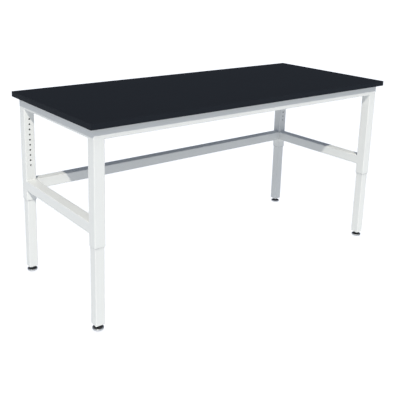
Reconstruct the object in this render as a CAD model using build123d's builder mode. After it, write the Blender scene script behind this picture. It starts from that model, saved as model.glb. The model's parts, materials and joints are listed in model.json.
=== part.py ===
from build123d import *
import os

# Height-adjustable four-leg workbench: a slab top on a welded square-tube frame with telescoping legs.
# Millimetres, +X to the right, +Y to the back, +Z up, origin on the floor under the middle of the top.

IN = 25.4  # the bench is built to inch sizes

# Worktop
top_length = 72 * IN
top_depth = 30 * IN
top_thickness = 1 * IN
bench_height = 36 * IN
top_overhang = 1 * IN
top_edge_break = 0.8

# Frame tube
tube_side = 2 * IN
tube_wall = 2.1
tube_radius = 3.5
sleeve_length = 20 * IN
stringer_rise = 2 * IN  # from the mouth of the outer legs up to the stringers
support_width = 1 * IN
support_count = 2
support_pitch = 24 * IN

# Column of index holes in one wall of each outer leg
index_hole_radius = 11 / 32 * IN / 2
index_hole_pitch = 1 * IN
index_hole_count = 10
index_first_drop = 4 * IN  # from the top of the leg down to the first hole

# Inner legs
inner_side = 1.75 * IN
inner_radius = 3.0
inner_length = 21.5 * IN
foot_gap = 1 * IN  # from the floor up to the end of the inner leg
inner_index_drop = 0.5 * IN  # from the head of the inner leg down to its own index hole
slide_clearance = 0.08

# Lock screw and weld nut on the rear face of each outer leg
lock_height = 1.2 * IN  # above the mouth of the outer leg
lock_nut_flats = 13.0
lock_nut_height = 6.5
lock_screw_radius = 3.9
lock_thread_radius = 4.0
lock_screw_length = 12.0
lock_socket_flats = 4.0
lock_socket_depth = 5.0
lock_tip_gap = 0.05

# Guide collar in the mouth of the outer leg, glide on the head of the inner leg
collar_height = 0.5 * IN
glide_head = 5.0
glide_skirt = 8.0
glide_skirt_wall = 2.5
plug_clearance = 0.05

# Levelling feet
insert_height = 28.0
stem_radius = 4.95
stem_bore_radius = 5.03
stem_top = 66.0
stem_end_chamfer = 1.0
stem_flange_radius = 8.0
stem_flange_height = 4.0
stem_hex_flats = 14.0
stem_hex_height = 4.0
jam_nut_flats = 17.0
jam_nut_height = 5.0
nut_chamfer = 0.6
pad_radius = 1 * IN
pad_top = 9.5
pad_floor_gap = 0.6
pad_edge_fillet = 2.0
pad_foot_chamfer = 0.4
pad_web_top = 4.5
socket_radius = 8.3
sole_radius = 22.5
sole_top = 3.0
boot_base_radius = 21.0
boot_neck_radius = 8.5
boot_bore_radius = 5.2
boot_height = 3.5

# Screw tabs that hold the top
tab_thickness = 3.0
tab_width = 38.0
tab_reach = 36.0
tab_hole_inset = 22.0
tab_hole_radius = 3.4
tab_corner_radius = 5.0
screw_radius = 2.95
screw_pilot_radius = 3.0
screw_bite = 16.0
screw_head_radius = 6.0
screw_head_height = 3.5
screw_head_fillet = 1.2
recess_width = 1.2
recess_length = 6.4
recess_depth = 1.6
tab_pitch = 18 * IN
tabs_per_rail = 4

# Levels and places worked out from the sizes above
frame_top = bench_height - top_thickness
sleeve_mouth = frame_top - sleeve_length
apron_level = frame_top - tube_side / 2
stringer_level = sleeve_mouth + stringer_rise + tube_side / 2
lock_level = sleeve_mouth + lock_height
leg_x = top_length / 2 - top_overhang - tube_side / 2
leg_y = top_depth / 2 - top_overhang - tube_side / 2
span_x = 2 * leg_x - tube_side
span_y = 2 * leg_y - tube_side
sleeve_bore = tube_side - 2 * tube_wall
inner_bore = inner_side - 2 * tube_wall
tab_y = span_y / 2
tab_x = span_x / 2

corners = {
    "front_left": (-leg_x, -leg_y),
    "front_right": (leg_x, -leg_y),
    "rear_left": (-leg_x, leg_y),
    "rear_right": (leg_x, leg_y),
}
# Each tab: the point where its top face meets the apron, and the way that it reaches from there.
tab_places = [
    ((i - (tabs_per_rail - 1) / 2) * tab_pitch, side * tab_y, (0, -side))
    for side in (-1, 1)
    for i in range(tabs_per_rail)
] + [(side * tab_x, 0, (-side, 0)) for side in (-1, 1)]
screw_places = [
    (x + reach[0] * tab_hole_inset, y + reach[1] * tab_hole_inset) for x, y, reach in tab_places
]

os.makedirs("parts", exist_ok=True)


def save(piece, label):
    """Names a finished piece and writes it as its own file."""
    piece.part.label = label
    export_step(piece.part, f"parts/{label}.step")


def square_tube(side, radius, wall):
    """Draws the hollow section of a square tube in the sketch that is open."""
    RectangleRounded(side, side, radius)
    RectangleRounded(side - 2 * wall, side - 2 * wall, radius - wall, mode=Mode.SUBTRACT)


def along_x(x, y, z):
    """The plane that a rail running towards +X starts on."""
    return Plane(origin=(x, y, z), x_dir=(0, 1, 0), z_dir=(1, 0, 0))


def along_y(x, y, z):
    """The plane that a rail running towards +Y starts on."""
    return Plane(origin=(x, y, z), x_dir=(1, 0, 0), z_dir=(0, 1, 0))


def leg_face(x, y, z, side):
    """The plane of an outer leg's front face (side -1) or rear face (side 1)."""
    return Plane(origin=(x, y + side * tube_side / 2, z), x_dir=(-side, 0, 0), z_dir=(0, side, 0))


# Worktop: one solid slab with its edges just broken and blind pilot holes for the screws.
with BuildPart() as worktop:
    with BuildSketch(Plane.XY.offset(frame_top)):
        Rectangle(top_length, top_depth)
    extrude(amount=top_thickness)
    chamfer(worktop.edges(), length=top_edge_break)
    with BuildSketch(Plane.XY.offset(frame_top)):
        with Locations(*screw_places):
            Circle(screw_pilot_radius)
    extrude(amount=screw_bite, mode=Mode.SUBTRACT)
save(worktop, "worktop")

# Rails between the legs: four aprons under the top, and stringers at the left, right and rear.
rails = {
    "front_apron": (along_x(-span_x / 2, -leg_y, apron_level), span_x),
    "rear_apron": (along_x(-span_x / 2, leg_y, apron_level), span_x),
    "left_apron": (along_y(-leg_x, -span_y / 2, apron_level), span_y),
    "right_apron": (along_y(leg_x, -span_y / 2, apron_level), span_y),
    "rear_stringer": (along_x(-span_x / 2, leg_y, stringer_level), span_x),
    "left_stringer": (along_y(-leg_x, -span_y / 2, stringer_level), span_y),
    "right_stringer": (along_y(leg_x, -span_y / 2, stringer_level), span_y),
}
for label, (start, length) in rails.items():
    with BuildPart() as rail:
        with BuildSketch(start):
            square_tube(tube_side, tube_radius, tube_wall)
        extrude(amount=length)
    save(rail, label)

# Flat supports that cross under the top between the front and rear aprons.
for i, label in enumerate(["left_cross_support", "right_cross_support"]):
    support_x = (i - (support_count - 1) / 2) * support_pitch
    with BuildPart() as cross_support:
        with BuildSketch(along_y(support_x, -span_y / 2, frame_top - support_width / 2)):
            RectangleRounded(tube_side, support_width, tube_radius)
            RectangleRounded(
                tube_side - 2 * tube_wall,
                support_width - 2 * tube_wall,
                tube_radius - tube_wall,
                mode=Mode.SUBTRACT,
            )
        extrude(amount=span_y)
    save(cross_support, label)

for corner, (x, y) in corners.items():
    inward = -1 if y > 0 else 1  # the leg face that looks at the opposite leg of the same end

    # Outer leg: a tube with the index holes in its inward wall and one lock hole in its rear wall.
    with BuildPart() as outer_leg:
        with BuildSketch(Plane((x, y, sleeve_mouth))):
            square_tube(tube_side, tube_radius, tube_wall)
        extrude(amount=sleeve_length)
        column_middle = frame_top - index_first_drop - (index_hole_count - 1) / 2 * index_hole_pitch
        with BuildSketch(leg_face(x, y, column_middle, inward)):
            with GridLocations(index_hole_pitch, index_hole_pitch, 1, index_hole_count):
                Circle(index_hole_radius)
        extrude(amount=-2 * tube_wall, mode=Mode.SUBTRACT)
        with BuildSketch(leg_face(x, y, lock_level, 1)):
            Circle(lock_thread_radius)
        extrude(amount=-2 * tube_wall, mode=Mode.SUBTRACT)
    save(outer_leg, f"outer_leg_{corner}")

    # Plastic collar pressed into the mouth of the outer leg, which the inner leg slides through.
    with BuildPart() as guide_collar:
        with BuildSketch(Plane((x, y, sleeve_mouth))):
            RectangleRounded(
                sleeve_bore - 2 * plug_clearance,
                sleeve_bore - 2 * plug_clearance,
                tube_radius - tube_wall,
            )
            collar_bore = inner_side + 2 * slide_clearance
            RectangleRounded(collar_bore, collar_bore, inner_radius, mode=Mode.SUBTRACT)
        extrude(amount=collar_height)
    save(guide_collar, f"guide_collar_{corner}")

    # Inner leg: a tube with one hole, which meets a hole of the column at each inch of height.
    with BuildPart() as inner_leg:
        with BuildSketch(Plane((x, y, foot_gap))):
            square_tube(inner_side, inner_radius, tube_wall)
        extrude(amount=inner_length)
        with BuildSketch(leg_face(x, y, foot_gap + inner_length - inner_index_drop, inward)):
            Circle(index_hole_radius)
        extrude(amount=-(tube_side - inner_side) / 2 - 2 * tube_wall, mode=Mode.SUBTRACT)
    save(inner_leg, f"inner_leg_{corner}")

    # Plastic glide on the head of the inner leg: a cap that runs in the outer leg, on a hollow skirt.
    with BuildPart() as leg_glide:
        with BuildSketch(Plane((x, y, foot_gap + inner_length))):
            glide_side = sleeve_bore - 2 * slide_clearance
            RectangleRounded(glide_side, glide_side, tube_radius - tube_wall)
        extrude(amount=glide_head)
        with BuildSketch(Plane((x, y, foot_gap + inner_length))):
            skirt_side = inner_bore - 2 * plug_clearance
            Rectangle(skirt_side, skirt_side)
            skirt_hollow = skirt_side - 2 * glide_skirt_wall
            Rectangle(skirt_hollow, skirt_hollow, mode=Mode.SUBTRACT)
        extrude(amount=-glide_skirt)
        fillet(leg_glide.edges().filter_by(Axis.Z), radius=inner_radius - tube_wall)
        chamfer(leg_glide.faces().sort_by(Axis.Z)[-1].edges(), length=nut_chamfer)
    save(leg_glide, f"leg_glide_{corner}")

    # Foot insert: the plug in the bottom of the inner leg that the stem screws through.
    with BuildPart() as foot_insert:
        with BuildSketch(Plane((x, y, foot_gap))):
            insert_side = inner_bore - 2 * plug_clearance
            RectangleRounded(insert_side, insert_side, inner_radius - tube_wall)
            Circle(stem_bore_radius, mode=Mode.SUBTRACT)
        extrude(amount=insert_height)
    save(foot_insert, f"foot_insert_{corner}")

    # Jam nut tightened up against the foot insert.
    with BuildPart() as jam_nut:
        with BuildSketch(Plane((x, y, foot_gap - jam_nut_height))):
            RegularPolygon(jam_nut_flats / 2, side_count=6, major_radius=False)
        extrude(amount=jam_nut_height)
        chamfer(jam_nut.faces().filter_by(Axis.Z).edges(), length=nut_chamfer)
        with BuildSketch(Plane((x, y, foot_gap - jam_nut_height))):
            Circle(stem_bore_radius)
        extrude(amount=jam_nut_height, mode=Mode.SUBTRACT)
    save(jam_nut, f"jam_nut_{corner}")

    # Leveller stem: the threaded rod, with the flange that sits in the pad and a hexagon for a spanner.
    with BuildPart() as leveller_stem:
        with BuildSketch(Plane((x, y, pad_web_top))):
            Circle(stem_radius)
        extrude(amount=stem_top - pad_web_top)
        chamfer(leveller_stem.faces().sort_by(Axis.Z)[-1].edges(), length=stem_end_chamfer)
        with BuildSketch(Plane((x, y, pad_web_top))):
            Circle(stem_flange_radius)
        extrude(amount=stem_flange_height)
        with BuildSketch(Plane((x, y, pad_top + boot_height))):
            RegularPolygon(stem_hex_flats / 2, side_count=6, major_radius=False)
        extrude(amount=stem_hex_height)
    save(leveller_stem, f"leveller_stem_{corner}")

    # Foot pad: a pressed steel cup with a socket for the stem above and a recess for the sole below.
    with BuildPart() as foot_pad:
        with BuildSketch(Plane((x, y, pad_floor_gap))):
            Circle(pad_radius)
        extrude(amount=pad_top - pad_floor_gap)
        fillet(foot_pad.faces().sort_by(Axis.Z)[-1].edges(), radius=pad_edge_fillet)
        chamfer(foot_pad.faces().sort_by(Axis.Z)[0].edges(), length=pad_foot_chamfer)
        with BuildSketch(Plane((x, y, pad_web_top))):
            Circle(socket_radius)
        extrude(amount=pad_top - pad_web_top, mode=Mode.SUBTRACT)
        with BuildSketch(Plane((x, y, pad_floor_gap))):
            Circle(sole_radius)
        extrude(amount=sole_top - pad_floor_gap, mode=Mode.SUBTRACT)
    save(foot_pad, f"foot_pad_{corner}")

    # Rubber sole in the recess under the pad.
    with BuildPart() as foot_sole:
        with BuildSketch(Plane((x, y, 0))):
            Circle(sole_radius)
        extrude(amount=sole_top)
    save(foot_sole, f"foot_sole_{corner}")

    # Moulded boot that closes the pad round the stem.
    with BuildPart() as foot_boot:
        with BuildSketch(Plane((x, y, pad_top))):
            Circle(boot_base_radius)
        with BuildSketch(Plane((x, y, pad_top + boot_height))):
            Circle(boot_neck_radius)
        loft()
        with BuildSketch(Plane((x, y, pad_top))):
            Circle(boot_bore_radius)
        extrude(amount=boot_height, mode=Mode.SUBTRACT)
    save(foot_boot, f"foot_boot_{corner}")

# Weld nuts on the rear faces of the outer legs.
with BuildPart() as lock_nuts:
    for x, y in corners.values():
        with BuildSketch(leg_face(x, y, lock_level, 1)):
            RegularPolygon(lock_nut_flats / 2, side_count=6, major_radius=False)
            Circle(lock_thread_radius, mode=Mode.SUBTRACT)
        extrude(amount=lock_nut_height)
save(lock_nuts, "lock_nuts")

# Socket set screws through the weld nuts, with their tips against the inner legs.
lock_tip = inner_side / 2 + lock_tip_gap - tube_side / 2
with BuildPart() as lock_screws:
    for x, y in corners.values():
        with BuildSketch(leg_face(x, y, lock_level, 1).offset(lock_tip)):
            Circle(lock_screw_radius)
        extrude(amount=lock_screw_length)
        with BuildSketch(leg_face(x, y, lock_level, 1).offset(lock_tip + lock_screw_length)):
            RegularPolygon(lock_socket_flats / 2, side_count=6, major_radius=False)
        extrude(amount=-lock_socket_depth, mode=Mode.SUBTRACT)
save(lock_screws, "lock_screws")

# Flat tabs welded inside the aprons, level with the top of the frame.
with BuildPart() as top_tabs:
    for x, y, reach in tab_places:
        middle = (x + reach[0] * tab_reach / 2, y + reach[1] * tab_reach / 2)
        tab_plane = Plane(origin=(*middle, frame_top - tab_thickness), x_dir=(*reach, 0), z_dir=(0, 0, 1))
        with BuildSketch(tab_plane) as tab_outline:
            Rectangle(tab_reach, tab_width)
            free_corners = tab_outline.vertices().sort_by(Axis(middle, (*reach, 0)))[-2:]
            fillet(free_corners, radius=tab_corner_radius)
            with Locations((tab_hole_inset - tab_reach / 2, 0)):
                Circle(tab_hole_radius, mode=Mode.SUBTRACT)
        extrude(amount=tab_thickness)
save(top_tabs, "top_tabs")

# Pan-head screws up through the tabs into the top.
screw_seat = frame_top - tab_thickness
with BuildPart() as top_screws:
    with BuildSketch(Plane.XY.offset(screw_seat)):
        with Locations(*screw_places):
            Circle(screw_head_radius)
    extrude(amount=-screw_head_height)
    head_rims = top_screws.faces().filter_by(Axis.Z).group_by(Axis.Z)[0].edges()
    fillet(head_rims, radius=screw_head_fillet)
    with BuildSketch(Plane.XY.offset(screw_seat - screw_head_height)):
        with Locations(*screw_places):
            Rectangle(recess_length, recess_width)
            Rectangle(recess_width, recess_length)
    extrude(amount=recess_depth, mode=Mode.SUBTRACT)
    with BuildSketch(Plane.XY.offset(screw_seat)):
        with Locations(*screw_places):
            Circle(screw_radius)
    extrude(amount=tab_thickness + screw_bite)
save(top_screws, "top_screws")
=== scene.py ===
"""The looks of a height-adjustable workbench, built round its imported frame.

Metres, in the frame of the CAD: +X to the right, +Y to the back, +Z up, the soles of the feet at zero.
"""

import bmesh
import bpy
import json
import math
from mathutils import Matrix, Vector


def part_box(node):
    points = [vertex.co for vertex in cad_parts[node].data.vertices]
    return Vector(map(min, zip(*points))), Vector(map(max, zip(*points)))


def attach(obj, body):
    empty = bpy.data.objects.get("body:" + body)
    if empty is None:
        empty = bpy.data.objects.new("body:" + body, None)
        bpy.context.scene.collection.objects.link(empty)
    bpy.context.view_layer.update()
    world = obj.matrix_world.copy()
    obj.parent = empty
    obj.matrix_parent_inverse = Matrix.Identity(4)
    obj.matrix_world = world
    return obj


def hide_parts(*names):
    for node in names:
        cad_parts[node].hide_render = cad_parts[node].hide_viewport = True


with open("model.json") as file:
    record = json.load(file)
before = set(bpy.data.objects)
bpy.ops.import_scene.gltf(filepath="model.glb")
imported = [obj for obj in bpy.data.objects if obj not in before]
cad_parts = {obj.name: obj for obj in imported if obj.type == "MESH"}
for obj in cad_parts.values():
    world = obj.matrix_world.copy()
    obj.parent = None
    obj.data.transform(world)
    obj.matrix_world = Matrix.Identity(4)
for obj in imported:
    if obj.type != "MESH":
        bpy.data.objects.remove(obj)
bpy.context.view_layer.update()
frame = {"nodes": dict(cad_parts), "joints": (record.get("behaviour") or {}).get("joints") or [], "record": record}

MM = 0.001
INCH = 25.4 * MM

CORNERS = ("front_left", "front_right", "rear_left", "rear_right")
RAILS_ALONG_X = ("front_apron", "rear_apron", "rear_stringer")
RAILS_ALONG_Y = ("left_apron", "right_apron", "left_stringer", "right_stringer")
CROSS_SUPPORTS = ("left_cross_support", "right_cross_support")

# Frame tube and the seams where rails butt against legs
TUBE_CORNER = 3.5 * MM
TUBE_WALL = 2.1 * MM
BORE_MARGIN = 0.1 * MM
SEAM_PROUD = 0.02 * MM
SEAM_LAP = 0.3 * MM
SEAM_CORNER_STEPS = 8

# Weld beads
BEAD_RADIUS = 2.6 * MM
BEAD_PITCH = 2.1 * MM
BEAD_SEED = 7
RIPPLE_SMALLEST = 0.9
RIPPLE_LARGEST = 1.08
RIPPLE_FLATNESS = 0.72
RIPPLE_SEGMENTS = 10
RIPPLE_RINGS = 6
TAB_PITCH = 18 * INCH
TAB_HALF_WIDTH = 17 * MM
TABS_PER_RAIL = 4

# Lips of the plastic collars below the mouths of the outer legs, black, also standing in as painted shade for the
# shadow line under each mouth
LIP_HEIGHT = 0.75 * MM
LIP_INSET = 0.5 * MM
LIP_CLEARANCE = 0.3 * MM
LIP_EDGE = 0.15 * MM
LIP_CORNER_STEPS = 5

# Leveller stems
THREAD_PITCH = 1.5 * MM
THREAD_CREST = 4.95 * MM
THREAD_ROOT = 4.1 * MM
THREAD_STEPS = 24
THREAD_RIDGE_SIDES = 3
STEM_FLANGE_RADIUS = 8 * MM
STEM_FLANGE_HEIGHT = 4 * MM
STEM_TIP = 1 * MM
HEX_SIDES = 6
HEX_FLATS = 14 * MM
HEX_HEIGHT = 4 * MM
HEX_EDGE = 0.6 * MM
TURNED_STEPS = 48
SHARP_ANGLE = math.radians(35)

# Places and sizes of the legs, from the frame
outer_leg_low, outer_leg_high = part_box("outer_leg_front_right")
LEG_X = (outer_leg_low.x + outer_leg_high.x) / 2
LEG_Y = -(outer_leg_low.y + outer_leg_high.y) / 2
SLEEVE_BORE = outer_leg_high.x - outer_leg_low.x - 2 * TUBE_WALL
inner_leg_low, inner_leg_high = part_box("inner_leg_front_right")
INNER_BORE = inner_leg_high.x - inner_leg_low.x - 2 * TUBE_WALL


# ---- Node trees ----


class Value:
    """One output of a node. A sum on it adds a Math node to its tree."""

    def __init__(self, graph, socket):
        self.graph = graph
        self.socket = socket

    def math(self, operation, first, second):
        return self.graph.node("ShaderNodeMath", {"operation": operation}, {0: first, 1: second})

    def __add__(self, other):
        return self.math("ADD", self, other)

    def __radd__(self, other):
        return self.math("ADD", other, self)

    def __sub__(self, other):
        return self.math("SUBTRACT", self, other)

    def __rsub__(self, other):
        return self.math("SUBTRACT", other, self)

    def __mul__(self, other):
        return self.math("MULTIPLY", self, other)

    def __rmul__(self, other):
        return self.math("MULTIPLY", other, self)

    def __truediv__(self, other):
        return self.math("DIVIDE", self, other)

    def size(self):
        """Its distance from zero."""
        return self.graph.node("ShaderNodeMath", {"operation": "ABSOLUTE"}, {0: self})

    def also(self, output):
        """Another output of the same node."""
        return Value(self.graph, self.socket.node.outputs[output])


class Graph:
    """A node tree, for a material, the world or geometry."""

    def __init__(self, tree):
        self.tree = tree
        tree.nodes.clear()

    def node(self, kind, settings=None, sockets=None, output=0):
        """Adds a node: its settings, with a ramp's two stops, then the values or links of its sockets."""
        made = self.tree.nodes.new(kind)
        for name, value in (settings or {}).items():
            if name == "stops":
                for element, (place, grey) in zip(made.color_ramp.elements, value):
                    element.position = place
                    element.color = (grey, grey, grey, 1)
            else:
                setattr(made, name, value)
        for name, value in (sockets or {}).items():
            if isinstance(value, Value):
                self.tree.links.new(value.socket, made.inputs[name])
            else:
                made.inputs[name].default_value = value
        if len(made.outputs):
            return Value(self, made.outputs[output])

    def coordinates(self):
        return self.node("ShaderNodeTexCoord", output="Object")

    def noise(self, where, scale, detail=2.0, roughness=0.5):
        sockets = {"Vector": where, "Scale": scale, "Detail": detail, "Roughness": roughness}
        return self.node("ShaderNodeTexNoise", {}, sockets)

    def stretched(self, where, scale):
        """The same places, with their axes scaled apart, for a pattern with a grain."""
        return self.node("ShaderNodeMapping", {}, {"Vector": where, "Scale": scale})

    def ramp(self, value, start, end):
        """0 up to the start, 1 from the end on, and straight between them."""
        return self.node("ShaderNodeValToRGB", {"stops": [(start, 0.0), (end, 1.0)]}, {0: value})

    def blend(self, share, first, second):
        """A colour between two colours, by the colour sockets of a Mix node."""
        return self.node(
            "ShaderNodeMix", {"data_type": "RGBA"}, {0: share, 6: first, 7: second}, output=2
        )

    def bump(self, height, distance, strength, under=None):
        """A bumped normal, on top of another bump if one is given."""
        sockets = {"Height": height, "Distance": distance, "Strength": strength}
        if under:
            sockets["Normal"] = under
        return self.node("ShaderNodeBump", {}, sockets)

    def surface(self, sockets):
        """Ends a material with one Principled shader."""
        shader = self.node("ShaderNodeBsdfPrincipled", {}, sockets)
        self.node("ShaderNodeOutputMaterial", {}, {"Surface": shader})


# ---- Finishes ----

# A pattern's scale is in grains a metre. A roughness is a base and the share that each pattern adds.

COAT_MOTTLE = {"scale": 7.0, "detail": 3.0}
COAT_PEEL = {"scale": 330.0, "detail": 2.0, "roughness": 0.45}
COAT_GRIT = {"scale": 2200.0, "detail": 1.0}
COAT_COLOURS = ((0.765, 0.775, 0.77, 1), (0.805, 0.815, 0.808, 1))
COAT_ROUGHNESS, COAT_MOTTLE_SHARE, COAT_PEEL_SHARE = 0.46, 0.1, 0.06
COAT_PEEL_BUMP = {"distance": 0.16 * MM, "strength": 0.7}
COAT_GRIT_BUMP = {"distance": 0.008 * MM, "strength": 0.4}
COAT_SPECULAR = 0.25
# Bare steel inside the leg tubes, near black: partly the steel's own dark tone, partly painted shade in the bore,
# so the index holes read dark
BARE_STEEL_AND_BORE_SHADE = (0.035, 0.034, 0.033, 1)

RESIN_CLOUD = {"scale": 4.0, "detail": 4.0}
RESIN_PRESSED = {"scale": 1300.0, "detail": 2.0, "roughness": 0.6}
RESIN_SANDED = {"scale": 160.0, "detail": 3.0}
RESIN_SANDED_STRETCH = (1, 1, 12)
RESIN_FACE_COLOURS = ((0.0125, 0.0148, 0.0195, 1), (0.0158, 0.0184, 0.024, 1))
RESIN_EDGE_COLOURS = ((0.012, 0.0145, 0.0195, 1), (0.019, 0.0225, 0.0295, 1))
RESIN_ROUGHNESS, RESIN_CLOUD_SHARE, RESIN_TEXTURE_SHARE = 0.52, 0.12, 0.1
RESIN_BUMP = {"distance": 0.03 * MM, "strength": 0.6}
RESIN_SPECULAR = 0.03

ZINC_CLOUD = {"scale": 90.0, "detail": 3.0}
ZINC_FINE = {"scale": 1500.0, "detail": 2.0}
ZINC_COLOURS = ((0.44, 0.45, 0.46, 1), (0.62, 0.63, 0.64, 1))
ZINC_ROUGHNESS, ZINC_CLOUD_SHARE, ZINC_FINE_SHARE = 0.24, 0.2, 0.08
ZINC_BUMP = {"distance": 0.01 * MM, "strength": 0.5}

OXIDE_RUB = {"scale": 260.0, "detail": 4.0}
OXIDE_RUB_START, OXIDE_RUB_END = 0.5, 0.72
OXIDE_COLOURS = ((0.035, 0.035, 0.04, 1), (0.11, 0.11, 0.12, 1))
OXIDE_ROUGHNESS, OXIDE_RUB_SHARE = 0.42, 0.12
OXIDE_BUMP = {"distance": 0.01 * MM, "strength": 0.4}
OXIDE_METALLIC = 0.9

NYLON_SPARK = {"scale": 1100.0, "detail": 3.0, "roughness": 0.6}
NYLON_CLOUD = {"scale": 60.0, "detail": 2.0}
NYLON_COLOURS = ((0.032, 0.032, 0.034, 1), (0.054, 0.054, 0.057, 1))
NYLON_ROUGHNESS, NYLON_SPARK_SHARE = 0.5, 0.15
NYLON_BUMP = {"distance": 0.03 * MM, "strength": 0.7}
NYLON_SPECULAR = 0.35

RUBBER_BLOOM = {"scale": 140.0, "detail": 4.0}
RUBBER_COLOURS = ((0.024, 0.024, 0.024, 1), (0.05, 0.049, 0.047, 1))
RUBBER_ROUGHNESS, RUBBER_BLOOM_SHARE = 0.78, 0.15
RUBBER_BUMP = {"distance": 0.05 * MM, "strength": 0.5}


def material(name, paint, *sizes):
    """A material whose nodes are made by paint(), which also gets the sizes."""
    made = bpy.data.materials.new(name)
    made.use_nodes = True
    paint(Graph(made.node_tree), *sizes)
    return made


def bore_mask(graph, where, bore):
    """1 on the inside of the leg tubes, where no powder reaches and painted shade darkens the bare steel, and 0
    outside them.
    """
    place_x = graph.node("ShaderNodeSeparateXYZ", {}, {0: where}, output="X")
    place_y = place_x.also("Y")
    off_x = (place_x.size() - LEG_X).size()
    off_y = (place_y.size() - LEG_Y).size()
    return off_x.math("LESS_THAN", off_x.math("MAXIMUM", off_x, off_y), bore / 2 + BORE_MARGIN)


def powder_coat(graph, bore):
    """White powder coat: satin, with orange peel a few millimetres across and a slight mottle; near-black bare
    steel inside the tubes, partly painted shade.
    """
    where = graph.coordinates()
    bare_and_shaded = bore_mask(graph, where, bore)
    mottle = graph.noise(where, **COAT_MOTTLE)
    peel = graph.noise(where, **COAT_PEEL)
    grit = graph.noise(where, **COAT_GRIT)
    coat = graph.blend(mottle, *COAT_COLOURS)
    # Painted shade: the inside of the tubes goes near black, darker than bare steel
    base = graph.blend(bare_and_shaded, coat, BARE_STEEL_AND_BORE_SHADE)
    peel_bump = graph.bump(peel, **COAT_PEEL_BUMP)
    graph.surface(
        {
            "Base Color": base,
            "Roughness": COAT_ROUGHNESS + COAT_MOTTLE_SHARE * mottle + COAT_PEEL_SHARE * peel,
            "Normal": graph.bump(grit, **COAT_GRIT_BUMP, under=peel_bump),
            "Specular IOR Level": COAT_SPECULAR,
        }
    )


def top_resin(graph):
    """Black phenolic resin: a fine pressed texture on the faces, a sanded grain along the edges."""
    where = graph.coordinates()
    normal = graph.node("ShaderNodeTexCoord", output="Normal")
    lift = graph.node("ShaderNodeSeparateXYZ", {}, {0: normal}, output="Z")
    flat = lift.size()
    cloud = graph.noise(where, **RESIN_CLOUD)
    pressed = graph.noise(where, **RESIN_PRESSED)
    sanded = graph.noise(graph.stretched(where, RESIN_SANDED_STRETCH), **RESIN_SANDED)
    face = graph.blend(cloud, *RESIN_FACE_COLOURS)
    edge = graph.blend(sanded, *RESIN_EDGE_COLOURS)
    texture = pressed * flat + sanded * (1 - flat)
    graph.surface(
        {
            "Base Color": graph.blend(flat, edge, face),
            "Roughness": RESIN_ROUGHNESS + RESIN_CLOUD_SHARE * cloud + RESIN_TEXTURE_SHARE * texture,
            "Normal": graph.bump(texture, **RESIN_BUMP),
            "Specular IOR Level": RESIN_SPECULAR,
        }
    )


def zinc_plate(graph):
    """Bright zinc plate, a little clouded."""
    where = graph.coordinates()
    cloud = graph.noise(where, **ZINC_CLOUD)
    fine = graph.noise(where, **ZINC_FINE)
    graph.surface(
        {
            "Base Color": graph.blend(cloud, *ZINC_COLOURS),
            "Roughness": ZINC_ROUGHNESS + ZINC_CLOUD_SHARE * cloud + ZINC_FINE_SHARE * fine,
            "Normal": graph.bump(fine, **ZINC_BUMP),
            "Metallic": 1.0,
        }
    )


def black_oxide(graph):
    """Black oxide on hardened steel, rubbed brighter in places."""
    where = graph.coordinates()
    rub = graph.ramp(graph.noise(where, **OXIDE_RUB), OXIDE_RUB_START, OXIDE_RUB_END)
    graph.surface(
        {
            "Base Color": graph.blend(rub, *OXIDE_COLOURS),
            "Roughness": OXIDE_ROUGHNESS - OXIDE_RUB_SHARE * rub,
            "Normal": graph.bump(rub, **OXIDE_BUMP),
            "Metallic": OXIDE_METALLIC,
        }
    )


def moulded_nylon(graph):
    """Moulded black nylon with a spark-eroded texture."""
    where = graph.coordinates()
    spark = graph.noise(where, **NYLON_SPARK)
    cloud = graph.noise(where, **NYLON_CLOUD)
    graph.surface(
        {
            "Base Color": graph.blend(cloud, *NYLON_COLOURS),
            "Roughness": NYLON_ROUGHNESS + NYLON_SPARK_SHARE * spark,
            "Normal": graph.bump(spark, **NYLON_BUMP),
            "Specular IOR Level": NYLON_SPECULAR,
        }
    )


def sole_rubber(graph):
    """Matt rubber with a dusty bloom."""
    where = graph.coordinates()
    bloom = graph.noise(where, **RUBBER_BLOOM)
    graph.surface(
        {
            "Base Color": graph.blend(bloom, *RUBBER_COLOURS),
            "Roughness": RUBBER_ROUGHNESS + RUBBER_BLOOM_SHARE * bloom,
            "Normal": graph.bump(bloom, **RUBBER_BUMP),
        }
    )


FINISHES = {
    "worktop_resin": material("worktop_resin", top_resin),
    "frame_powder_coat": material("frame_powder_coat", powder_coat, SLEEVE_BORE),
    "zinc_plated_steel": material("zinc_plated_steel", zinc_plate),
    "black_oxide_steel": material("black_oxide_steel", black_oxide),
    "black_nylon": material("black_nylon", moulded_nylon),
    "sole_rubber": material("sole_rubber", sole_rubber),
}


def finish_frame():
    """Gives every CAD node the finish that the record names for it, and the inner legs their own bore."""
    inner_coat = material("inner_leg_powder_coat", powder_coat, INNER_BORE)
    for part in frame["record"]["subparts"]:
        slots = frame["nodes"][part["node"]].data.materials
        slots.clear()
        inner = part["node"].startswith("inner_leg")
        slots.append(inner_coat if inner else FINISHES[part["material_slot"]])


# ---- Pieces ----


def place(name, mesh, body, slot_name):
    """Puts a finished mesh on a body of the frame, with the finish of one slot."""
    piece = bpy.data.objects.new(name, mesh)
    bpy.context.scene.collection.objects.link(piece)
    mesh.materials.clear()
    mesh.materials.append(FINISHES[slot_name])
    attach(piece, body)
    return piece


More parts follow.
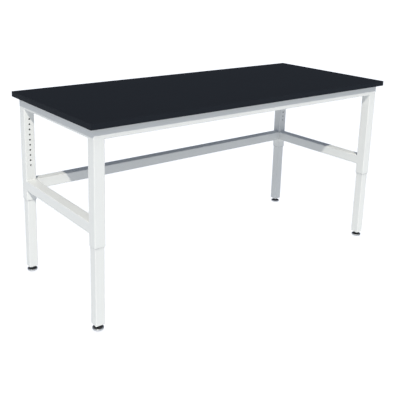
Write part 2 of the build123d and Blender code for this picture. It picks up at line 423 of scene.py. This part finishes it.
def geometry_tree(name, sizes, build):
    """A Geometry Nodes tree with a named input for each size; build() gets them and returns the geometry."""
    tree = bpy.data.node_groups.new(name, "GeometryNodeTree")
    kinds = {float: "NodeSocketFloat", int: "NodeSocketInt", bpy.types.Material: "NodeSocketMaterial"}
    tree.interface.new_socket("Geometry", in_out="INPUT", socket_type="NodeSocketGeometry")
    for label, value in sizes.items():
        tree.interface.new_socket(label, in_out="INPUT", socket_type=kinds[type(value)])
    tree.interface.new_socket("Geometry", in_out="OUTPUT", socket_type="NodeSocketGeometry")
    graph = Graph(tree)
    given = graph.node("NodeGroupInput")
    built = build(graph, given)
    real = graph.node("GeometryNodeRealizeInstances", {}, {0: built})
    dressed = graph.node(
        "GeometryNodeSetMaterial", {}, {"Geometry": real, "Material": given.also("Finish")}
    )
    graph.node("NodeGroupOutput", {}, {0: dressed})
    return tree


def grown_mesh(name, start, sizes, build):
    """Runs a Geometry Nodes tree on a starting mesh and returns the result as a plain mesh."""
    tree = geometry_tree(name, sizes, build)
    grower = bpy.data.objects.new(name + "_grower", start)
    bpy.context.scene.collection.objects.link(grower)
    modifier = grower.modifiers.new("Build", "NODES")
    modifier.node_group = tree
    for item in tree.interface.items_tree:
        if item.in_out == "INPUT" and item.name in sizes:
            modifier[item.identifier] = sizes[item.name]
    ready = grower.evaluated_get(bpy.context.evaluated_depsgraph_get())
    mesh = bpy.data.meshes.new_from_object(ready)
    grower.modifiers.remove(modifier)
    bpy.data.objects.remove(grower)
    mesh.name = name
    return mesh


def rail_ends():
    """Each end of each rail: its middle, the way from it into the leg, and the way out of the bench."""
    for rails, axis in ((RAILS_ALONG_X, 0), (RAILS_ALONG_Y, 1)):
        for rail in rails:
            low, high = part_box(rail)
            middle = (low + high) / 2
            out = Vector((0, 0, 0))
            out[1 - axis] = math.copysign(1, middle[1 - axis])
            for side, reach in ((-1, low), (1, high)):
                along = Vector((0, 0, 0))
                along[axis] = side
                end = middle.copy()
                end[axis] = reach[axis]
                yield rail, end, along, out


def seam_fill(bm, end, along, out, half_height):
    """Weld metal ground flush in the groove between a rail and the round corner of its leg."""
    flat = half_height - TUBE_CORNER
    turns = [i * math.pi / 2 / SEAM_CORNER_STEPS for i in range(SEAM_CORNER_STEPS + 1)]
    corner = [(TUBE_CORNER * math.sin(turn), TUBE_CORNER * (1 - math.cos(turn))) for turn in turns]
    outline = [(-flat - rise, depth) for rise, depth in reversed(corner)]
    outline += [(flat + rise, depth) for rise, depth in corner]
    face = end + out * half_height
    rings = []
    for height, depth in outline:
        reach = TUBE_CORNER - math.sqrt(TUBE_CORNER**2 - (TUBE_CORNER - depth) ** 2)
        spot = face + Vector((0, 0, height))
        ring = (
            spot - along * SEAM_LAP - out * (depth - SEAM_PROUD),
            spot + along * reach - out * (depth - SEAM_PROUD),
            spot - along * SEAM_LAP - out * (TUBE_CORNER + SEAM_LAP),
        )
        rings.append([bm.verts.new(p) for p in ring])
    for low, high in zip(rings, rings[1:]):
        for i in range(3):
            j = (i + 1) % 3
            bm.faces.new((low[i], low[j], high[j], high[i]))
    bm.faces.new(rings[0])
    bm.faces.new(rings[-1])


def add_seams():
    """Every groove that shows: outside each rail end, and inside where no other rail meets it."""
    bm = bmesh.new()
    for rail, end, along, out in rail_ends():
        low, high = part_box(rail)
        half_height = (high.z - low.z) / 2
        seam_fill(bm, end, along, out, half_height)
        if "stringer" in rail and end.y < 0:
            seam_fill(bm, end, along, -out, half_height)
    bmesh.ops.recalc_face_normals(bm, faces=bm.faces)
    mesh = bpy.data.meshes.new("ground_seams")
    bm.to_mesh(mesh)
    bm.free()
    place("ground_seams", mesh, "frame", "frame_powder_coat")


def bead_runs():
    """The straight runs of weld bead, each a pair of end points."""
    up = Vector((0, 0, 1))
    runs = []
    for rail, end, along, out in rail_ends():
        low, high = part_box(rail)
        half = (high.z - low.z) / 2
        across = out * (half - TUBE_CORNER - BEAD_RADIUS)
        runs.append((end - across - up * half, end + across - up * half))
        if "stringer" in rail:
            runs.append((end - across + up * half, end + across + up * half))
        if rail in ("front_apron", "rear_apron"):
            inner = end - out * half
            rise = up * (half - TUBE_CORNER - BEAD_RADIUS)
            runs.append((inner - rise, inner + rise))
    for support in CROSS_SUPPORTS:
        low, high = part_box(support)
        middle_x = (low.x + high.x) / 2
        half = (high.x - low.x) / 2
        for y in (low.y, high.y):
            reach = half - TUBE_CORNER
            runs.append((Vector((middle_x - reach, y, low.z)), Vector((middle_x + reach, y, low.z))))
            for x in (low.x, high.x):
                runs.append((Vector((x, y, low.z + TUBE_CORNER)), Vector((x, y, high.z - TUBE_CORNER))))
    tab_low, tab_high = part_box("top_tabs")
    for y in (tab_low.y, tab_high.y):
        for i in range(TABS_PER_RAIL):
            x = (i - (TABS_PER_RAIL - 1) / 2) * TAB_PITCH
            runs.append(
                (Vector((x - TAB_HALF_WIDTH, y, tab_low.z)), Vector((x + TAB_HALF_WIDTH, y, tab_low.z)))
            )
    for x in (tab_low.x, tab_high.x):
        runs.append((Vector((x, -TAB_HALF_WIDTH, tab_low.z)), Vector((x, TAB_HALF_WIDTH, tab_low.z))))
    return runs


def bead_ripples(graph, given):
    """Overlapping ripples of weld metal, evenly spaced along each run and slightly uneven in size.

    The random size uses the float sockets of its node, 2 and 3, and its float output, 1.
    """
    line = graph.node("GeometryNodeMeshToCurve", {}, {"Mesh": given})
    steps = graph.node(
        "GeometryNodeResampleCurve",
        {"mode": "LENGTH"},
        {"Curve": line, "Length": given.also("Ripple pitch")},
    )
    tangent = graph.node("GeometryNodeInputTangent")
    turn = graph.node("FunctionNodeAlignEulerToVector", {"axis": "Z"}, {"Vector": tangent})
    uneven = graph.node(
        "FunctionNodeRandomValue",
        {"data_type": "FLOAT"},
        {2: RIPPLE_SMALLEST, 3: RIPPLE_LARGEST, "Seed": given.also("Seed")},
        output=1,
    )
    ripple = graph.node(
        "GeometryNodeMeshUVSphere",
        {},
        {"Segments": RIPPLE_SEGMENTS, "Rings": RIPPLE_RINGS, "Radius": given.also("Bead radius")},
    )
    flat = graph.node(
        "GeometryNodeTransform", {}, {"Geometry": ripple, "Scale": (1, 1, RIPPLE_FLATNESS)}
    )
    return graph.node(
        "GeometryNodeInstanceOnPoints",
        {},
        {"Points": steps, "Instance": flat, "Rotation": turn, "Scale": uneven},
    )


def add_weld_beads():
    """All the weld beads as one piece, grown along their runs."""
    points = [point for run in bead_runs() for point in run]
    start = bpy.data.meshes.new("bead_lines")
    start.from_pydata(points, [(i, i + 1) for i in range(0, len(points), 2)], [])
    sizes = {
        "Bead radius": BEAD_RADIUS,
        "Ripple pitch": BEAD_PITCH,
        "Seed": BEAD_SEED,
        "Finish": FINISHES["frame_powder_coat"],
    }
    mesh = grown_mesh("weld_beads", start, sizes, bead_ripples)
    mesh.shade_smooth()
    place("weld_beads", mesh, "frame", "frame_powder_coat")


def square_ring(bm, middle, half, corner):
    """Points round a square with round corners, as vertices of the mesh."""
    ring = []
    for quarter in range(4):
        turn = quarter * math.pi / 2
        centre = Vector((half - corner, half - corner, 0))
        centre.rotate(Matrix.Rotation(turn, 3, "Z"))
        for step in range(LIP_CORNER_STEPS + 1):
            angle = turn + step * math.pi / 2 / LIP_CORNER_STEPS
            spot = middle + centre + Vector((math.cos(angle), math.sin(angle), 0)) * corner
            ring.append(bm.verts.new(spot))
    return ring


def add_collar_lips():
    """The black lip of each collar: a real lip, also painted shade for the dark line between the outer and inner
    leg.
    """
    bm = bmesh.new()
    for corner_name in CORNERS:
        sleeve_low, sleeve_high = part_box(f"outer_leg_{corner_name}")
        leg_low, leg_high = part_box(f"inner_leg_{corner_name}")
        middle = (sleeve_low + sleeve_high) / 2
        outer_half = (sleeve_high.x - sleeve_low.x) / 2 - LIP_INSET
        inner_half = (leg_high.x - leg_low.x) / 2 + LIP_CLEARANCE
        section = (
            (inner_half, 0),
            (inner_half, LIP_HEIGHT),
            (outer_half - LIP_EDGE, LIP_HEIGHT),
            (outer_half, LIP_HEIGHT - LIP_EDGE),
            (outer_half, 0),
        )
        rings = []
        for half, drop in section:
            middle.z = sleeve_low.z - drop
            corner = TUBE_CORNER - (outer_half + LIP_INSET - half) / 2
            rings.append(square_ring(bm, middle, half, corner))
        for inner, outer in zip(rings, rings[1:] + rings[:1]):
            for i in range(len(inner)):
                j = (i + 1) % len(inner)
                bm.faces.new((inner[i], inner[j], outer[j], outer[i]))
    bmesh.ops.recalc_face_normals(bm, faces=bm.faces)
    mesh = bpy.data.meshes.new("collar_lips_shade_line")
    bm.to_mesh(mesh)
    bm.free()
    # The lip's black is partly painted shade: it stands in for the shadow under each outer leg's mouth
    place("collar_lips_shade_line", mesh, "frame", "black_nylon")


def turned_solid(bm, profile, foot, steps=TURNED_STEPS):
    """A closed turned solid: profile is (radius, height) points up its side, closed at both ends."""
    rings = []
    for radius, height in profile:
        turns = [2 * math.pi * i / steps for i in range(steps)]
        ring = [foot + Vector((radius * math.cos(turn), radius * math.sin(turn), height)) for turn in turns]
        rings.append([bm.verts.new(p) for p in ring])
    for low, high in zip(rings, rings[1:]):
        for i in range(steps):
            j = (i + 1) % steps
            bm.faces.new((low[i], low[j], high[j], high[i]))
    bm.faces.new(list(reversed(rings[0])))
    bm.faces.new(rings[-1])


def thread_ridge(graph, given):
    """The thread: a sixty-degree ridge that winds up the stem."""
    helix = graph.node(
        "GeometryNodeCurveSpiral",
        {},
        {
            "Resolution": given.also("Steps a turn"),
            "Rotations": given.also("Length") / given.also("Pitch"),
            "Start Radius": given.also("Ridge radius"),
            "End Radius": given.also("Ridge radius"),
            "Height": given.also("Length"),
        },
    )
    level = graph.node("GeometryNodeSetCurveNormal", {"mode": "Z_UP"}, {"Curve": helix})
    ridge = graph.node(
        "GeometryNodeCurvePrimitiveCircle",
        {"mode": "RADIUS"},
        {"Resolution": THREAD_RIDGE_SIDES, "Radius": given.also("Pitch") / math.sqrt(3)},
    )
    crest_out = graph.node("GeometryNodeTransform", {}, {"Geometry": ridge, "Rotation": (0, 0, math.pi)})
    return graph.node(
        "GeometryNodeCurveToMesh", {}, {"Curve": level, "Profile Curve": crest_out, "Fill Caps": True}
    )


def add_stem(corner):
    """The leveller stem: a rolled thread above a spanner hexagon and the flange in the pad."""
    low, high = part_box(f"leveller_stem_{corner}")
    boot_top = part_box(f"foot_boot_{corner}")[1].z
    foot = Vector(((low.x + high.x) / 2, (low.y + high.y) / 2, 0))
    bm = bmesh.new()
    hex_top = boot_top + HEX_HEIGHT
    flange_top = low.z + STEM_FLANGE_HEIGHT
    core = [
        (STEM_FLANGE_RADIUS - HEX_EDGE, low.z),
        (STEM_FLANGE_RADIUS, low.z + HEX_EDGE),
        (STEM_FLANGE_RADIUS, flange_top - HEX_EDGE),
        (STEM_FLANGE_RADIUS - HEX_EDGE, flange_top),
        (THREAD_CREST, flange_top),
        (THREAD_CREST, boot_top),
        (THREAD_ROOT, hex_top),
        (THREAD_ROOT, high.z - STEM_TIP),
        (THREAD_ROOT - STEM_TIP, high.z),
    ]
    turned_solid(bm, core, foot)
    half_corner = HEX_FLATS / 2 / math.cos(math.pi / HEX_SIDES)
    hexagon = [
        (half_corner - HEX_EDGE, boot_top),
        (half_corner, boot_top + HEX_EDGE / 2),
        (half_corner, hex_top - HEX_EDGE / 2),
        (half_corner - HEX_EDGE, hex_top),
    ]
    turned_solid(bm, hexagon, foot, steps=HEX_SIDES)
    mesh = bpy.data.meshes.new(f"leveller_stem_thread_{corner}")
    sizes = {
        "Pitch": THREAD_PITCH,
        "Length": high.z - STEM_TIP - hex_top,
        "Ridge radius": THREAD_CREST - THREAD_PITCH / math.sqrt(3),
        "Steps a turn": THREAD_STEPS,
        "Finish": FINISHES["zinc_plated_steel"],
    }
    ridge = grown_mesh("thread_ridge", bpy.data.meshes.new("empty"), sizes, thread_ridge)
    ridge.transform(Matrix.Translation(foot + Vector((0, 0, hex_top))))
    bm.from_mesh(ridge)
    bm.to_mesh(mesh)
    bm.free()
    mesh.shade_smooth()
    mesh.set_sharp_from_angle(angle=SHARP_ANGLE)
    stem = place(f"threaded_stem_{corner}", mesh, f"stem_{corner}", "zinc_plated_steel")
    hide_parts(f"leveller_stem_{corner}")


# ---- Studio ----

# The shift stays small, because every other view of the bench keeps it
CAMERA_PLACE = Vector((-2.0712, -2.4602, 1.5128))
CAMERA_YAW = math.radians(37.29)
CAMERA_PITCH = math.radians(13.69)
CAMERA_ROLL = math.radians(1.23)
CAMERA_LENS = 57.34
CAMERA_SHIFT = (0.05, -0.2)
CAMERA_CLIP = (0.05, 200.0)

KEY_FROM = Vector((-0.59, -0.764, 1.0))
KEY_STRENGTH = 2.42
KEY_ANGLE = math.radians(0.8)
HIGH_FROM = Vector((-0.36, -0.46, 1.0))
HIGH_STRENGTH = 0.4
HIGH_ANGLE = math.radians(30)
WARM_WHITE = (1.0, 0.965, 0.865)
SKY = (0.26, 0.295, 0.365, 1)
SKY_LEAN = 0.3
HORIZON_SLOPE = 3.0
HORIZON_LEVEL = 0.9
FLOOR_BOUNCE = (0.935, 0.96, 0.965, 1)
FLOOR_RADIUS = 40.0
FLOOR_SEGMENTS = 96
FLOOR_GAP = 1 * MM
FLOOR_GLOW = 0.85
FLOOR_MOTTLE = {"scale": 1.5}
FLOOR_COLOURS = ((0.94, 0.94, 0.94, 1), (0.96, 0.96, 0.96, 1))
FLOOR_ROUGHNESS = 0.9
WHITE = (1, 1, 1, 1)


def add_camera():
    """A camera from its place, its heading from +Y towards +X, its pitch down and its roll."""
    ahead = Vector(
        (
            math.sin(CAMERA_YAW) * math.cos(CAMERA_PITCH),
            math.cos(CAMERA_YAW) * math.cos(CAMERA_PITCH),
            -math.sin(CAMERA_PITCH),
        )
    )
    level_right = Vector((math.cos(CAMERA_YAW), -math.sin(CAMERA_YAW), 0))
    level_up = level_right.cross(ahead)
    right = level_right * math.cos(CAMERA_ROLL) + level_up * math.sin(CAMERA_ROLL)
    up = level_up * math.cos(CAMERA_ROLL) - level_right * math.sin(CAMERA_ROLL)
    data = bpy.data.cameras.new("camera")
    data.lens = CAMERA_LENS
    data.shift_x, data.shift_y = CAMERA_SHIFT
    data.clip_start, data.clip_end = CAMERA_CLIP
    camera = bpy.data.objects.new("camera", data)
    bpy.context.scene.collection.objects.link(camera)
    turn = Matrix((right, up, -ahead)).transposed().to_4x4()
    camera.matrix_world = Matrix.Translation(CAMERA_PLACE) @ turn
    bpy.context.scene.camera = camera


def floor_paint(graph):
    """Plain pale studio floor, faintly mottled."""
    mottle = graph.noise(graph.coordinates(), **FLOOR_MOTTLE)
    graph.surface(
        {
            "Base Color": graph.blend(mottle, *FLOOR_COLOURS),
            "Roughness": FLOOR_ROUGHNESS,
            "Specular IOR Level": 0.0,
            "Emission Color": WHITE,
            "Emission Strength": FLOOR_GLOW,
        }
    )


def add_floor():
    """A round floor, just under the lowest reach of the levellers."""
    levels = [joint["range_m"][0] for joint in frame["joints"] if "foot_level" in joint["name"]]
    floor_level = min(levels) - FLOOR_GAP
    bm = bmesh.new()
    lowered = Matrix.Translation((0, 0, floor_level))
    bmesh.ops.create_circle(
        bm, cap_ends=True, radius=FLOOR_RADIUS, segments=FLOOR_SEGMENTS, matrix=lowered
    )
    mesh = bpy.data.meshes.new("studio_floor")
    bm.to_mesh(mesh)
    bm.free()
    mesh.materials.append(material("studio_floor", floor_paint))
    floor = bpy.data.objects.new("studio_floor", mesh)
    bpy.context.scene.collection.objects.link(floor)
    floor.visible_diffuse = False
    return floor


def add_light(name, come_from, strength, angle, floor):
    """A distant light from the front left. The floor is left out of it, so that the floor stays even."""
    data = bpy.data.lights.new(name, "SUN")
    data.energy = strength
    data.color = WARM_WHITE
    data.angle = angle
    light = bpy.data.objects.new(name, data)
    bpy.context.scene.collection.objects.link(light)
    light.rotation_euler = come_from.to_track_quat("Z", "Y").to_euler()
    left_out = bpy.data.collections.new(name + "_leaves_out")
    left_out.objects.link(floor)
    light.light_linking.receiver_collection = left_out
    left_out.collection_objects[0].light_linking.link_state = "EXCLUDE"


def add_world():
    """A soft dim sky, brighter on the key light's side, more bounce from below, and plain white behind."""
    world = bpy.data.worlds.new("studio")
    world.use_nodes = True
    graph = Graph(world.node_tree)
    direction = graph.node("ShaderNodeTexCoord", output="Generated")
    rise = graph.node("ShaderNodeSeparateXYZ", {}, {0: direction}, output="Z")
    above = graph.ramp(rise * HORIZON_SLOPE + HORIZON_LEVEL, 0.0, 1.0)
    glow = graph.blend(above, FLOOR_BOUNCE, SKY)
    key_side = KEY_FROM.xy.normalized()
    towards_key = rise.also("X") * key_side.x + rise.also("Y") * key_side.y
    seen = graph.node("ShaderNodeLightPath", output="Is Camera Ray")
    level = 1.0 + SKY_LEAN * towards_key * above * (1 - seen)
    light = graph.node(
        "ShaderNodeBackground", {}, {"Color": graph.blend(seen, glow, WHITE), "Strength": level}
    )
    graph.node("ShaderNodeOutputWorld", {}, {"Surface": light})
    bpy.context.scene.world = world


finish_frame()
add_seams()
add_weld_beads()
add_collar_lips()
for corner_name in CORNERS:
    add_stem(corner_name)

add_camera()
studio_floor = add_floor()
add_light("key_light", KEY_FROM, KEY_STRENGTH, KEY_ANGLE, studio_floor)
add_light("high_soft_light", HIGH_FROM, HIGH_STRENGTH, HIGH_ANGLE, studio_floor)
add_world()
bpy.context.scene.view_settings.view_transform = "Standard"
